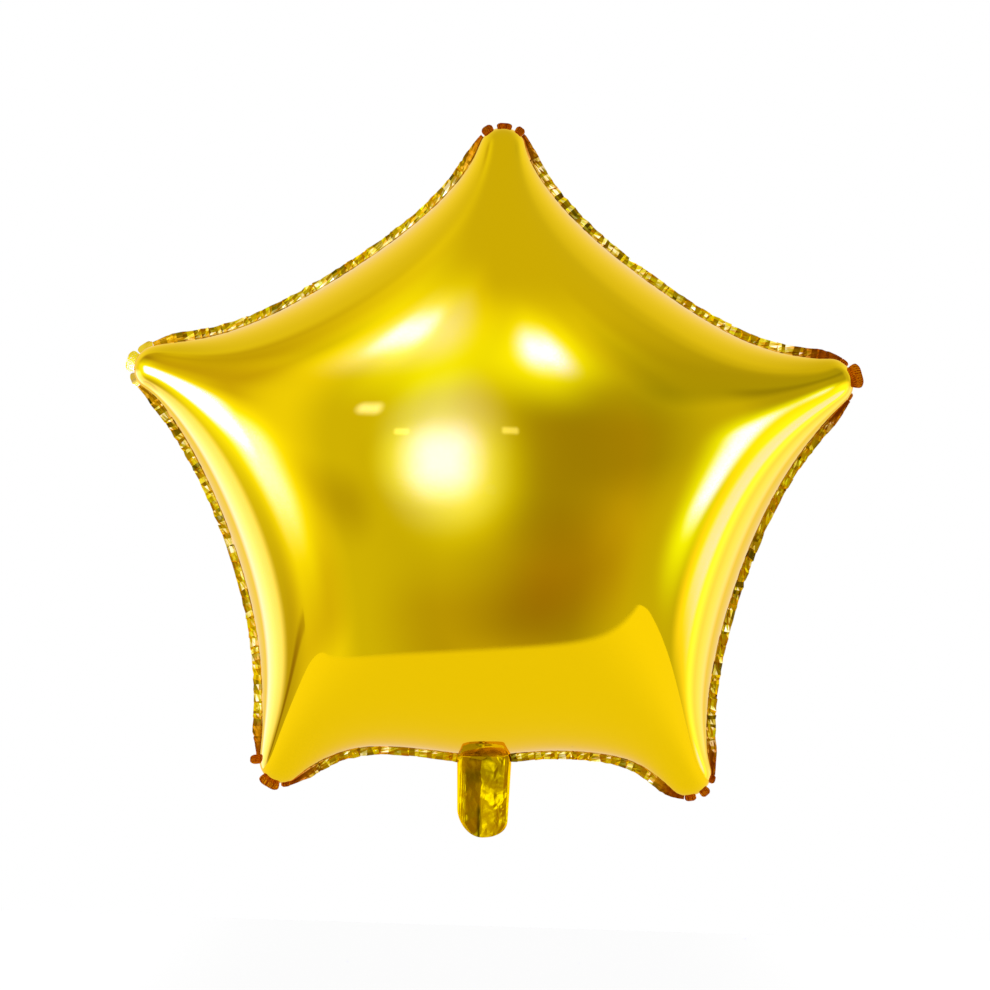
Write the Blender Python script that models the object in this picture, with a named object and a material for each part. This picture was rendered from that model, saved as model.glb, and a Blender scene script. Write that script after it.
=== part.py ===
"""Star foil balloon, blown up: two metallised films sealed together round a soft five-pointed star.

Metres, +Z up. The seal lies in the XZ plane and the front film faces -Y. The origin is on the seal's
outer edge in the middle of the neck's root, where a ribbon is tied: the star stands above it and the
filling neck hangs below.
"""

import math

import bmesh
import bpy
import numpy as np

# Reach of each arm and valley, from the star's centre to the inner edge of the seal
TOP_ARM_REACH = 0.1960
SIDE_ARM_REACH = 0.2070
FOOT_ARM_REACH = 0.2020
VALLEY_REACH = 0.1427

# Outline of an arm: a round tip, then a flank that bends out into the shallow valley
TIP_ROUNDING = 0.0105
TIP_HALF_ANGLE = math.radians(47.0)
SHOULDER_HANDLE = 0.0275
VALLEY_HANDLE = 0.0842

# Each film bulges this far from the seal plane at the star's centre
FILM_BULGE = 0.1030

# The seal: a narrow flat band outside the outline, gathered into small pleats by the blown-up films
SEAL_WIDTH = 0.0046
SEAL_THICKNESS = 0.0008
PLEAT_PITCH = 0.0062
PLEAT_DEPTH = 0.0014
PLEAT_WIDTH_CHANGE = 0.0004
PLEAT_UNEVENNESS = 0.45
PLEAT_SEED = 5

# Round each tip the seal splits into small square-cornered tabs with notches between them
TABS_PER_TIP = 3
TAB_REACH = 0.0042
TAB_SQUARENESS = 4.0
NOTCH_WIDTH_LEFT = 0.0010
SHOULDER_RUN = 0.0120

# The neck: a flat tube with sealed lips at its sides and a round sealed end
NECK_LENGTH = 0.0410
NECK_ROOT_WIDTH = 0.0295
NECK_END_WIDTH = 0.0270
NECK_END_ROUNDING = 0.0140
NECK_END_SWEEP = math.radians(85.0)
NECK_PUFF = 0.0052
NECK_LIP_WIDTH = 0.0034
NECK_LIP_STEP = 0.0006
NECK_ROOT_PUFF = 0.0160
NECK_ROOT_RUN = 0.0120
NECK_INSIDE = 0.0130

# The neck drags the seal down a little round its root
NECK_PULL = 0.0030
NECK_PULL_HALF_WIDTH = 0.0260

# Filling hole in the neck's back film, down to the valve film behind it
PORT_DIAMETER = 0.0070
PORT_BELOW_ROOT = 0.0190
PORT_DEPTH = 0.0009

# Fineness of the mesh
COLUMNS_PER_TAB = 3
FILM_RINGS = 8
CURVE_STEPS = 160
NECK_COLUMNS = 12
NECK_ROWS = 7
NECK_END_ROWS = 7
PORT_SIDES = 24
SHARP_ANGLE = math.radians(30.0)

ARMS = 5
ARM_TURN = math.tau / ARMS
ARM_REACHES = (TOP_ARM_REACH, SIDE_ARM_REACH, FOOT_ARM_REACH, FOOT_ARM_REACH, SIDE_ARM_REACH)
NECK_SIDE = 2
STAR_CENTRE_Z = VALLEY_REACH + NECK_PULL + SEAL_WIDTH
NECK_LIP_THICKNESS = SEAL_THICKNESS + NECK_LIP_STEP

GOLD = (0.83, 0.58, 0.012, 1.0)


def clear_scene():
    for obj in list(bpy.data.objects):
        bpy.data.objects.remove(obj)


def make_object(name, vertices, faces):
    """One closed mesh object, with every face pointing out."""
    mesh = bpy.data.meshes.new(name)
    mesh.from_pydata([tuple(v) for v in vertices], [], [tuple(f) for f in faces])
    shape = bmesh.new()
    shape.from_mesh(mesh)
    bmesh.ops.recalc_face_normals(shape, faces=shape.faces)
    shape.to_mesh(mesh)
    shape.free()
    obj = bpy.data.objects.new(name, mesh)
    bpy.context.collection.objects.link(obj)
    return obj


def as_tool(obj):
    obj.hide_render = True
    obj.display_type = "WIRE"
    return obj


def combine(obj, tool, operation):
    boolean = obj.modifiers.new(tool.name, "BOOLEAN")
    boolean.operation = operation
    boolean.solver = "EXACT"
    boolean.object = tool


def foil():
    material = bpy.data.materials.new("gold_foil")
    material.use_nodes = True
    shader = material.node_tree.nodes["Principled BSDF"]
    shader.inputs["Base Color"].default_value = GOLD
    shader.inputs["Metallic"].default_value = 1.0
    shader.inputs["Roughness"].default_value = 0.08
    return material


def smooth_step(value):
    share = np.clip(value, 0, 1)
    return share**2 * (3 - 2 * share)


def tip_arc(reach):
    """The round end of an arm, from one shoulder to the other, as (along the arm, across it)."""
    half_sweep = math.pi / 2 - TIP_HALF_ANGLE
    turn = np.linspace(-half_sweep, half_sweep, CURVE_STEPS)
    middle = reach - TIP_ROUNDING
    return np.column_stack([middle + TIP_ROUNDING * np.cos(turn), TIP_ROUNDING * np.sin(turn)])


def flank(reach):
    """The side of an arm from its shoulder to the valley: a cubic Bezier, tangent to the tip's arc at
    the shoulder and square to the valley's own radius at its end."""
    shoulder = tip_arc(reach)[-1]
    leaving = np.array([-math.cos(TIP_HALF_ANGLE), math.sin(TIP_HALF_ANGLE)])
    half_turn = ARM_TURN / 2
    valley = VALLEY_REACH * np.array([math.cos(half_turn), math.sin(half_turn)])
    arriving = np.array([-math.sin(half_turn), math.cos(half_turn)])
    t = np.linspace(0, 1, CURVE_STEPS)[:, None]
    return (
        (1 - t) ** 3 * shoulder
        + 3 * (1 - t) ** 2 * t * (shoulder + SHOULDER_HANDLE * leaving)
        + 3 * (1 - t) * t**2 * (valley - VALLEY_HANDLE * arriving)
        + t**3 * valley
    )


def on_arm(points, arm):
    """From (along, across) an arm to (x, z) about the star's centre, arms counted clockwise from the top."""
    turn = arm * ARM_TURN
    along, across = points[:, 0], points[:, 1]
    return np.column_stack(
        [
            along * math.sin(turn) + across * math.cos(turn),
            along * math.cos(turn) - across * math.sin(turn),
        ]
    )


def side(arm):
    """The seal's inner edge from one arm's shoulder, through the valley, to the next arm's shoulder."""
    following = (arm + 1) % ARMS
    out = on_arm(flank(ARM_REACHES[arm]), arm)
    back = on_arm(flank(ARM_REACHES[following])[::-1] * [1, -1], following)
    curve = np.vstack([out, back[1:]])
    if arm == NECK_SIDE:
        curve[:, 1] -= NECK_PULL * np.exp(-((curve[:, 0] / NECK_PULL_HALF_WIDTH) ** 2))
    return curve


def distances(curve):
    steps = np.linalg.norm(np.diff(curve, axis=0), axis=1)
    return np.concatenate([[0], np.cumsum(steps)])


def spaced(curve, count):
    """count + 1 points spaced evenly along a curve, and their distances from its start."""
    travelled = distances(curve)
    wanted = np.linspace(0, travelled[-1], count + 1)
    points = np.column_stack([np.interp(wanted, travelled, curve[:, k]) for k in range(2)])
    return points, wanted


def tab_band(columns):
    """Seal width and pleat height at the columns round a tip: flat tabs between narrow notches."""
    tab_share = np.arange(columns) * TABS_PER_TIP / columns
    lobe = np.abs(np.sin(math.pi * tab_share)) ** (1 / TAB_SQUARENESS)
    return NOTCH_WIDTH_LEFT + (TAB_REACH - NOTCH_WIDTH_LEFT) * lobe, np.zeros(columns)


def pleated_band(points, distance, chance):
    """Seal width and pleat height at the columns along a side. The band widens from the notch at either
    shoulder, and is folded to and fro unevenly, but lies flat where the neck joins it."""
    from_shoulder = np.minimum(distance, distance[-1] - distance)
    open_share = smooth_step(from_shoulder / SHOULDER_RUN)
    width = NOTCH_WIDTH_LEFT + (SEAL_WIDTH - NOTCH_WIDTH_LEFT) * np.sqrt(open_share)
    to_and_fro = np.where(np.arange(len(distance)) % 2, 1.0, -1.0)
    fold = to_and_fro * open_share * (1 - PLEAT_UNEVENNESS * chance.random(len(distance)))
    half_root = NECK_ROOT_WIDTH / 2
    clear_of_neck = smooth_step((np.abs(points[:, 0]) - half_root) / half_root)
    fold = np.where(points[:, 1] < 0, fold * clear_of_neck, fold)
    return (width + PLEAT_WIDTH_CHANGE * fold)[:-1], (PLEAT_DEPTH * fold)[:-1]


def seal_columns():
    """The seal's inner edge, width and pleat height, column by column clockwise round the star. Every
    second column meets a column of the films."""
    chance = np.random.default_rng(PLEAT_SEED)
    inner, bands = [], []
    for arm in range(ARMS):
        tab_columns = 2 * COLUMNS_PER_TAB * TABS_PER_TIP
        points, _ = spaced(on_arm(tip_arc(ARM_REACHES[arm]), arm), tab_columns)
        inner.append(points[:-1])
        bands.append(tab_band(tab_columns))

        curve = side(arm)
        pleats = round(distances(curve)[-1] / PLEAT_PITCH)
        points, distance = spaced(curve, 2 * pleats)
        inner.append(points[:-1])
        bands.append(pleated_band(points, distance, chance))
    width, pleat = (np.concatenate(column) for column in zip(*bands))
    return np.vstack(inner), width, pleat


def outward(loop):
    """Unit vectors in the plane that point away from a closed clockwise loop."""
    run = np.roll(loop, -1, axis=0) - np.roll(loop, 1, axis=0)
    normal = np.column_stack([-run[:, 1], run[:, 0]])
    return normal / np.linalg.norm(normal, axis=1)[:, None]


def film_triangles(columns):
    """Triangles of one film: a fan round the centre, vertex 0, then rings of quads cut in two."""
    here = np.arange(columns)
    following = (here + 1) % columns
    triangles = [np.column_stack([np.zeros(columns, int), 1 + here, 1 + following])]
    for ring in range(FILM_RINGS - 1):
        inside, outside = 1 + ring * columns, 1 + (ring + 1) * columns
        triangles.append(np.column_stack([inside + here, outside + here, outside + following]))
        triangles.append(np.column_stack([inside + here, outside + following, inside + following]))
    return np.vstack(triangles)


def membrane(points, triangles, rim):
    """How far a stretched skin over this outline gives under even pressure, as a share of its largest.
    Two corners of a triangle pull on each other with half the cotangent of the angle at the third."""
    count = len(points)
    stiffness = np.zeros((count, count))
    push = np.zeros(count)
    for k in range(3):
        a, b, c = (triangles[:, (k + step) % 3] for step in range(3))
        to_a, to_b = points[a] - points[c], points[b] - points[c]
        doubled_area = np.abs(to_a[:, 0] * to_b[:, 1] - to_a[:, 1] * to_b[:, 0])
        pull = (to_a * to_b).sum(axis=1) / doubled_area / 2
        for i, j, sign in ((a, b, -1), (b, a, -1), (a, a, 1), (b, b, 1)):
            np.add.at(stiffness, (i, j), sign * pull)
        np.add.at(push, a, doubled_area / 6)
    free = np.arange(count - rim)
    give = np.zeros(count)
    give[free] = np.linalg.solve(stiffness[np.ix_(free, free)], push[free])
    return give / give.max()


def film(inner):
    """One film blown up: rings that shrink the outline to the star's centre, each point standing off
    the seal plane by the square root of the membrane's give, which rises square from the seal."""
    columns = len(inner)
    shrink = np.sin(np.linspace(0, math.pi / 2, FILM_RINGS + 1))[1:]
    flat = np.vstack([[[0.0, 0.0]], *(share * inner for share in shrink)])
    triangles = film_triangles(columns)
    height = SEAL_THICKNESS / 2 + FILM_BULGE * np.sqrt(membrane(flat, triangles, columns))
    return flat, height, triangles


def placed(plane, y):
    return np.column_stack([plane[:, 0], y, plane[:, 1] + STAR_CENTRE_Z])


def envelope():
    """Both films with the pleated seal round them, as one closed body."""
    inner, width, pleat = seal_columns()
    flat, height, triangles = film(inner[::2])
    outer = inner + width[:, None] * outward(inner)
    half_seal = SEAL_THICKNESS / 2
    vertices = [
        placed(flat, -height),
        placed(flat, height),
        placed(outer, pleat - half_seal),
        placed(outer, pleat + half_seal),
    ]
    film_size = len(flat)
    seal_size = len(inner)
    faces = [triangles, triangles[:, ::-1] + film_size]

    films = np.arange(seal_size // 2)
    films_next = (films + 1) % len(films)
    rim = film_size - len(films)
    for film_start, seal_start in ((0, 2 * film_size), (film_size, 2 * film_size + seal_size)):
        weld, weld_next = film_start + rim + films, film_start + rim + films_next
        edge, fold, edge_next = (seal_start + (2 * films + k) % seal_size for k in range(3))
        faces.append(np.column_stack([weld, edge, fold]))
        faces.append(np.column_stack([weld, fold, weld_next]))
        faces.append(np.column_stack([weld_next, fold, edge_next]))

    column = np.arange(seal_size)
    front, front_next = 2 * film_size + column, 2 * film_size + (column + 1) % seal_size
    faces.append(np.column_stack([front, front_next, front_next + seal_size]))
    faces.append(np.column_stack([front, front_next + seal_size, front + seal_size]))
    return make_object("star_balloon", np.vstack(vertices), np.vstack(faces))


def neck_sections():
    """Height, half width and half thickness of each cross-section, from inside the star to the end."""
    straight = NECK_LENGTH - NECK_END_ROUNDING
    rows = np.linspace(NECK_INSIDE + SEAL_WIDTH, -straight, NECK_ROWS)
    turn = np.linspace(0, NECK_END_SWEEP, NECK_END_ROWS)[1:]
    heights = np.concatenate([rows, -straight - NECK_END_ROUNDING * np.sin(turn)])

    share_down = np.clip(-heights / straight, 0, 1)
    half_widths = (NECK_ROOT_WIDTH + (NECK_END_WIDTH - NECK_ROOT_WIDTH) * share_down) / 2
    half_widths[NECK_ROWS:] *= np.cos(turn)

    near_root = smooth_step(1 + heights / NECK_ROOT_RUN)
    half_puffs = (NECK_PUFF + (NECK_ROOT_PUFF - NECK_PUFF) * near_root) / 2
    near_end = smooth_step((heights + NECK_LENGTH) / NECK_END_ROUNDING)
    half_lip = NECK_LIP_THICKNESS / 2
    return heights, half_widths, half_lip + (half_puffs - half_lip) * near_end


def neck_outline(half_width, half_puff):
    """Half thickness across a section: thin lips at the sides and an elliptic puff between them."""
    share = np.linspace(-1, 1, NECK_COLUMNS + 1)
    open_half = max(half_width - NECK_LIP_WIDTH, half_width / 2)
    open_share = np.clip(np.abs(share) * half_width / open_half, 0, 1)
    half_lip = NECK_LIP_THICKNESS / 2
    return share * half_width, half_lip + (half_puff - half_lip) * np.sqrt(1 - open_share**2)


def neck():
    """The flat tube, drawn section by section from inside the star."""
    vertices = []
    for height, half_width, half_puff in zip(*neck_sections()):
        x, thick = neck_outline(half_width, half_puff)
        z = np.full(len(x), height)
        vertices.append(np.column_stack([x, -thick, z]))
        vertices.append(np.column_stack([x, thick, z])[::-1])
    around = 2 * (NECK_COLUMNS + 1)
    last = (len(vertices) // 2 - 1) * around
    faces = []
    for upper in range(0, last, around):
        for k in range(around):
            following = (k + 1) % around
            lower = upper + around
            faces.append((upper + k, lower + k, lower + following, upper + following))
    for cap in (0, last):
        for k in range(NECK_COLUMNS):
            faces.append((cap + k, cap + k + 1, cap + around - 2 - k, cap + around - 1 - k))
    return as_tool(make_object("neck", np.vstack(vertices), faces))


def port():
    """Cutter for the filling hole."""
    turn = np.linspace(0, math.tau, PORT_SIDES, endpoint=False)
    x = PORT_DIAMETER / 2 * np.cos(turn)
    z = PORT_DIAMETER / 2 * np.sin(turn) - PORT_BELOW_ROOT
    floor, outside = NECK_PUFF / 2 - PORT_DEPTH, NECK_PUFF
    vertices = np.vstack([np.column_stack([x, np.full(PORT_SIDES, y), z]) for y in (floor, outside)])
    here = np.arange(PORT_SIDES)
    following = (here + 1) % PORT_SIDES
    walls = np.column_stack([here, following, following + PORT_SIDES, here + PORT_SIDES])
    faces = [tuple(here), tuple(here + PORT_SIDES), *(tuple(wall) for wall in walls)]
    return as_tool(make_object("filling_port", vertices, faces))


def main():
    clear_scene()
    balloon = envelope()
    balloon.data.materials.append(foil())
    combine(balloon, neck(), "UNION")
    combine(balloon, port(), "DIFFERENCE")
    balloon.data.shade_smooth()
    balloon.data.set_sharp_from_angle(angle=SHARP_ANGLE)


main()
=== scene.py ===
# %% [markdown]
# # A star foil balloon
# The object is a gold star balloon: two thin films of polyester with a coat of metal on them, sealed
# together round their edge and blown up. Nothing on it is thick or solid. All that the eye gets is the
# smooth mirror of the film, the crinkled seal round it, and the flat neck where it is filled.
# The CAD model is loaded first and stays the measure of everything that follows.

# %% Load the frame
import math

import bmesh
import bpy
import numpy as np
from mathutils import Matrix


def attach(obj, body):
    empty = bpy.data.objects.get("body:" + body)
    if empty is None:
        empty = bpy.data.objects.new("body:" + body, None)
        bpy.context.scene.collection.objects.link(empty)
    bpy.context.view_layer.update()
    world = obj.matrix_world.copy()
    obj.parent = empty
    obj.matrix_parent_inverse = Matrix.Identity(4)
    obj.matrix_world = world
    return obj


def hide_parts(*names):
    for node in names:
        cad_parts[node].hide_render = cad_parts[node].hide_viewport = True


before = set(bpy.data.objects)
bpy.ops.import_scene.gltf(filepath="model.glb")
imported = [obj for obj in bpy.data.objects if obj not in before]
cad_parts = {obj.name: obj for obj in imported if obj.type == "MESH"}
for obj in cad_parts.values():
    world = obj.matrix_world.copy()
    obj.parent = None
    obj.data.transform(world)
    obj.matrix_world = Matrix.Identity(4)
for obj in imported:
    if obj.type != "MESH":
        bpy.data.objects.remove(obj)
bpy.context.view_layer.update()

# %% [markdown]
# ## Helpers
# A few small helpers carry the whole scene. Colours are written as hex values, as a paint program shows
# them, and one function turns them into the linear numbers that a renderer counts in. One function adds
# a node with its settings and links, and three more use it for steps that come up again and again. One
# makes a closed mesh out of arrays.

# %% Colours
def linear(hex_colour):
    """An sRGB hex colour as linear red, green, blue and an alpha of 1. Each channel is divided by 12.92
    where it is dark, and otherwise raised to the power 2.4 after the standard's small shift."""
    channels = np.array([int(hex_colour[k : k + 2], 16) for k in (1, 3, 5)]) / 255
    bright = ((channels + 0.055) / 1.055) ** 2.4
    return (*np.where(channels <= 0.04045, channels / 12.92, bright).tolist(), 1.0)


print("Mid grey is", [round(value, 3) for value in linear("#808080")])

# %% Nodes
def add(tree, kind, settings=None, inputs=None):
    """Adds a node. Settings are its menus and ticks. Inputs are numbers, or outputs of other nodes."""
    made = tree.nodes.new(kind)
    for name, value in (settings or {}).items():
        setattr(made, name, value)
    for socket, value in (inputs or {}).items():
        if isinstance(value, bpy.types.NodeSocket):
            tree.links.new(value, made.inputs[socket])
        else:
            made.inputs[socket].default_value = value
    return made


def maths(tree, operation, *values):
    """One step of arithmetic on numbers."""
    return add(tree, "ShaderNodeMath", {"operation": operation}, dict(enumerate(values))).outputs["Value"]


def ranged(tree, value, start, end, low=0.0, high=1.0, kind="LINEAR"):
    """Goes from low, where the value is start, to high, where it is end, and stays level beyond them. The
    kind SMOOTHSTEP makes that S-shaped."""
    made = add(tree, "ShaderNodeMapRange", {"interpolation_type": kind}, {
        "Value": value, "From Min": start, "From Max": end, "To Min": low, "To Max": high})
    return made.outputs["Result"]


def mixed(tree, share, first, second):
    """A colour that goes from the first to the second as the share goes from 0 to 1."""
    made = add(tree, "ShaderNodeMix", {"data_type": "RGBA"}, {"Factor": share, 6: first, 7: second})
    return made.outputs[2]


# %% Meshes
def make_piece(name, vertices, faces, weld=1e-6):
    """Puts arrays into a mesh, joins the points that fall on each other, and turns the faces outward."""
    mesh = bpy.data.meshes.new(name)
    mesh.from_pydata(vertices.tolist(), [], faces.tolist())
    shape = bmesh.new()
    shape.from_mesh(mesh)
    bmesh.ops.remove_doubles(shape, verts=shape.verts, dist=weld)
    bmesh.ops.recalc_face_normals(shape, faces=shape.faces)
    open_edges = sum(not edge.is_manifold for edge in shape.edges)
    shape.to_mesh(mesh)
    shape.free()
    piece = bpy.data.objects.new(name, mesh)
    bpy.context.collection.objects.link(piece)
    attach(piece, "root")
    print(f"{name}: {len(mesh.polygons)} faces, {open_edges} open edges")
    return piece


def grid_faces(rows, columns):
    """Quads of a grid of points that was flattened row by row, as four indices each."""
    corner = np.arange((rows - 1) * columns).reshape(rows - 1, columns)[:, :-1].ravel()
    return np.column_stack([corner, corner + 1, corner + columns + 1, corner + columns])


def smooth_step(value):
    """An S-shaped rise from 0 to 1: three times the square less twice the cube."""
    share = np.clip(value, 0, 1)
    return share**2 * (3 - 2 * share)


# %% [markdown]
# ## The camera
# The photograph looks straight at the star from its own height. The camera stands 1.8 m away with a
# long lens, as a product photographer's would, so that the thick middle isn't drawn larger than the
# points. The star hangs a little askew in the picture, and a roll of the camera gives that.

# %% Camera
STAR_CENTRE_Z = 0.1503
CAMERA_DISTANCE = 1.8
FRAME_WIDTH = 0.5402
CAMERA_ROLL = math.radians(1.8)
SENSOR_WIDTH = 36.0
FRAME_CENTRE = (0.0013, STAR_CENTRE_Z - 0.0033)

camera_data = bpy.data.cameras.new("camera")
camera_data.sensor_width = SENSOR_WIDTH
camera_data.lens = SENSOR_WIDTH * CAMERA_DISTANCE / FRAME_WIDTH
camera = bpy.data.objects.new("camera", camera_data)
camera.location = (FRAME_CENTRE[0], -CAMERA_DISTANCE, FRAME_CENTRE[1])
camera.rotation_euler = (math.pi / 2, -CAMERA_ROLL, 0.0)
bpy.context.collection.objects.link(camera)
bpy.context.scene.camera = camera
print(f"Lens {camera_data.lens:.1f} mm")

# %% [markdown]
# ## The outline of the star
# A foil balloon is cut flat, with soft points and shallow valleys. Each arm is drawn along its own
# axis: half of a round tip, then a flank that leaves it steeply and bends out into the valley. The
# flank is a cubic Bezier curve, the simplest curve whose two ends can each be given a direction. No two
# arms are quite alike, because the real film was not cut or blown up evenly, so each has its own row.

# %% Arms and valleys
ARM_TURN = math.tau / 5
# For each arm, clockwise from the top: its turn away from its fifth, in degrees, its reach and the
# rounding of its tip, in metres. Then for its counter-clockwise and its clockwise flank: the half angle
# of the tip in degrees, and how long the Bezier handles at shoulder and valley are, in metres.
ARMS = (
    (-0.1, 0.1972, 0.0140, (34.0, 0.0089, 0.0761), (34.0, 0.0030, 0.0772)),
    (-1.3, 0.2057, 0.0143, (20.0, 0.0331, 0.0578), (31.0, 0.0202, 0.0637)),
    (-0.3, 0.2006, 0.0137, (33.0, 0.0040, 0.0749), (16.0, 0.0248, 0.0749)),
    (0.0, 0.1999, 0.0126, (16.0, 0.0444, 0.0647), (36.0, 0.0259, 0.0502)),
    (-0.1, 0.2070, 0.0132, (16.0, 0.0169, 0.0518), (38.0, 0.0250, 0.0842)),
)
# For the valley clockwise of each arm: its turn from the middle in degrees and its reach in metres
VALLEYS = ((-1.9, 0.1415), (-0.2, 0.1425), (-2.5, 0.1427), (-0.9, 0.1439), (1.5, 0.1427))
NECK_PULL = 0.0030
NECK_PULL_HALF_WIDTH = 0.0260
FOOT_LEVEL = -0.0856
CURVE_POINTS = 400


def arm_turn(arm):
    """An arm's direction: its fifth of a turn and its own small turn."""
    return arm * ARM_TURN + math.radians(ARMS[arm][0])


# %% Half of an arm
def half_arm(arm, hand):
    """The edge from the middle of a tip to the valley clockwise of it (hand 1) or counter-clockwise
    (hand -1), as (along the arm, across it). First an arc about the tip's middle, then the Bezier
    curve from the end of the arc to the valley."""
    _, reach, rounding, *flanks = ARMS[arm]
    tip_angle, shoulder_handle, valley_handle = flanks[hand > 0]
    tip_angle = math.radians(tip_angle)
    turn = np.linspace(0, math.pi / 2 - tip_angle, CURVE_POINTS)
    middle = reach - rounding
    arc = np.column_stack([middle + rounding * np.cos(turn), rounding * np.sin(turn)])
    leaving = np.array([-math.cos(tip_angle), math.sin(tip_angle)])
    number = (arm if hand > 0 else arm - 1) % 5
    valley_turn = (number + 0.5) * ARM_TURN + math.radians(VALLEYS[number][0])
    apart = abs((valley_turn - arm_turn(arm) + math.pi) % math.tau - math.pi)
    valley = VALLEYS[number][1] * np.array([math.cos(apart), math.sin(apart)])
    arriving = np.array([-math.sin(apart), math.cos(apart)])
    t = np.linspace(0, 1, CURVE_POINTS)[1:, None]
    bezier = (
        (1 - t) ** 3 * arc[-1]
        + 3 * (1 - t) ** 2 * t * (arc[-1] + shoulder_handle * leaving)
        + 3 * (1 - t) * t**2 * (valley - valley_handle * arriving)
        + t**3 * valley
    )
    return np.vstack([arc, bezier]) * [1, hand]


def on_star(points, arm):
    """Turns (along, across) an arm into (x, z) about the star's centre. The edge beside the neck is
    drawn down by a bell curve, because the neck drags on it."""
    turn = arm_turn(arm)
    along_arm, across = points[:, 0], points[:, 1]
    x = along_arm * math.sin(turn) + across * math.cos(turn)
    z = along_arm * math.cos(turn) - across * math.sin(turn)
    pull = NECK_PULL * np.exp(-((x / NECK_PULL_HALF_WIDTH) ** 2))
    return np.column_stack([x, z - np.where(z < FOOT_LEVEL, pull, 0)])


def edge_of(arm, hand):
    """The edge from a tip to the valley clockwise of it (hand 1) or counter-clockwise (hand -1)."""
    return on_star(half_arm(arm, hand), arm)


def along(curve, share):
    """Points at these shares of a curve's length."""
    steps = np.linalg.norm(np.diff(curve, axis=0), axis=1)
    travelled = np.concatenate([[0], np.cumsum(steps)])
    wanted = np.asarray(share) * travelled[-1]
    return np.stack([np.interp(wanted, travelled, curve[:, k]) for k in range(2)], axis=-1)


def length(curve):
    """The length of a curve, the sum of its steps."""
    return np.linalg.norm(np.diff(curve, axis=0), axis=1).sum()


outline = np.vstack([part for arm in range(5)
                     for part in (edge_of(arm, -1)[::-1], edge_of(arm, 1)[1:-1])])
print(f"The edge is {length(outline):.3f} m long round the star")

# %% [markdown]
# ## How far the films bulge
# Blown up, the two films can't stretch, so they bulge most in the middle and meet at the seal almost
# face to face. A sheet simulation gives this form, and a rule of thumb comes within about a millimetre
# of it: take how a stretched soap skin over the same outline would give under pressure, and take its
# square root. The skin's equation is solved here without a mesh. The real and imaginary parts of the
# powers of a complex number are all solutions of the unloaded skin, so enough of them are mixed, by
# least squares, that the loaded skin comes out as zero all round the outline.

# %% The skin over the outline
FILM_BULGE = 0.1030
SKIN_POWERS = 150
SKIN_SAMPLES = 6000
SKIN_SCALE = 0.2070
LEAST_GIVE = 1e-6


def skin_terms(points):
    """Real and imaginary parts of the powers of (z + ix), and the load's own term, |z + ix| squared."""
    number = (points[..., 1] + 1j * points[..., 0]) / SKIN_SCALE
    powers = number[..., None] ** np.arange(SKIN_POWERS + 1)
    return np.concatenate([powers.real, powers.imag[..., 1:]], axis=-1), np.abs(number) ** 2


edge_samples = along(np.vstack([outline, outline[:1]]), np.linspace(0, 1, SKIN_SAMPLES, endpoint=False))
terms, load = skin_terms(edge_samples)
term_size = np.abs(terms).max(axis=0)
skin_mix = np.linalg.lstsq(terms / term_size, load, rcond=1e-15)[0] / term_size
print(f"Largest error at the edge: {np.abs(terms @ skin_mix - load).max() / skin_mix[0]:.1e} of the bulge")


def bulge(points):
    """How far the film stands off the seal's plane: the largest bulge times the square root of the
    skin's give, as a share of its give at the centre. It never falls below a tenth of a millimetre,
    so that the two films touch only where they are sealed."""
    terms, load = skin_terms(points)
    return FILM_BULGE * np.sqrt(np.clip((terms @ skin_mix - load) / skin_mix[0], LEAST_GIVE, None))


# %% [markdown]
# ## The blown-up envelope
# A star has no natural grid: rings round its centre crowd together in the valleys and fan out in the
# arms. Five kite-shaped patches avoid that. Each has the star's centre, a valley, a tip and the next
# valley as its corners, and lines of equal share run between opposite sides. The lines crowd towards
# the outline like the sine of an even angle, because there the film turns fastest, from facing the
# camera to facing sideways. Both films share the points on the outline, so the envelope is closed.

# %% Kite patches
PATCH_STEPS = 88


def kite(arm):
    """Points of one patch. With shares a and b along its two sides, a point is b times the tip's
    clockwise edge at a, plus a times its counter-clockwise edge at b, less a times b times the tip."""
    share = np.sin(np.linspace(0, math.pi / 2, PATCH_STEPS + 1))
    clockwise = along(edge_of(arm, 1)[::-1], share)
    counter = along(edge_of(arm, -1)[::-1], share)
    a, b = share[:, None, None], share[None, :, None]
    return b * clockwise[:, None] + a * counter[None] - a * b * clockwise[-1]


def film_points(flat, facing):
    """Lifts points of the seal's plane to the film, in front (facing -1) or behind (facing 1)."""
    stand_off = bulge(flat)
    stand_off[-1, :] = 0
    stand_off[:, -1] = 0
    x, z = flat[..., 0], flat[..., 1] + STAR_CENTRE_Z
    return np.stack([x, facing * stand_off, z], axis=-1).reshape(-1, 3)


patches = [kite(arm) for arm in range(5)]
patch_faces = grid_faces(PATCH_STEPS + 1, PATCH_STEPS + 1)
patch_size = (PATCH_STEPS + 1) ** 2
envelope_points = np.vstack([film_points(patch, facing) for facing in (-1, 1) for patch in patches])
envelope_faces = [
    (patch_faces if k < 5 else patch_faces[:, ::-1]) + k * patch_size for k in range(10)
]
envelope = make_piece("film_envelope", envelope_points, np.vstack(envelope_faces))
envelope.data.shade_smooth()
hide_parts("star_balloon")

# %% [markdown]
# ## The crinkled seal
# The two films are welded together in a band a little over 4 mm wide. When the balloon is blown up its
# edge has to get shorter, and the band can't, so it folds to and fro. The folds are sharp and uneven,
# and each flat between two of them mirrors another part of the room: that is why the band glitters.
# Each side of the star gets a strip whose columns lie on the folds themselves, so that every flat is one
# clean facet, and it is shaded flat. The glitter is partly painted: the faces get painted shade and painted
# glints by chance, and painted shade in a deeper orange towards the tips.

# %% The folds of a side
SEAL_WIDTH = 0.0042
SEAL_THICKNESS = 0.0003
FOLD_SPACING = 0.0024
FOLD_DEPTH = 0.00072
# Rows of points across the band, as shares of its width. The first lies inside the film
SEAL_ROWS = np.array([-0.30, 0.0, 0.30, 0.66, 1.0])
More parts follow.
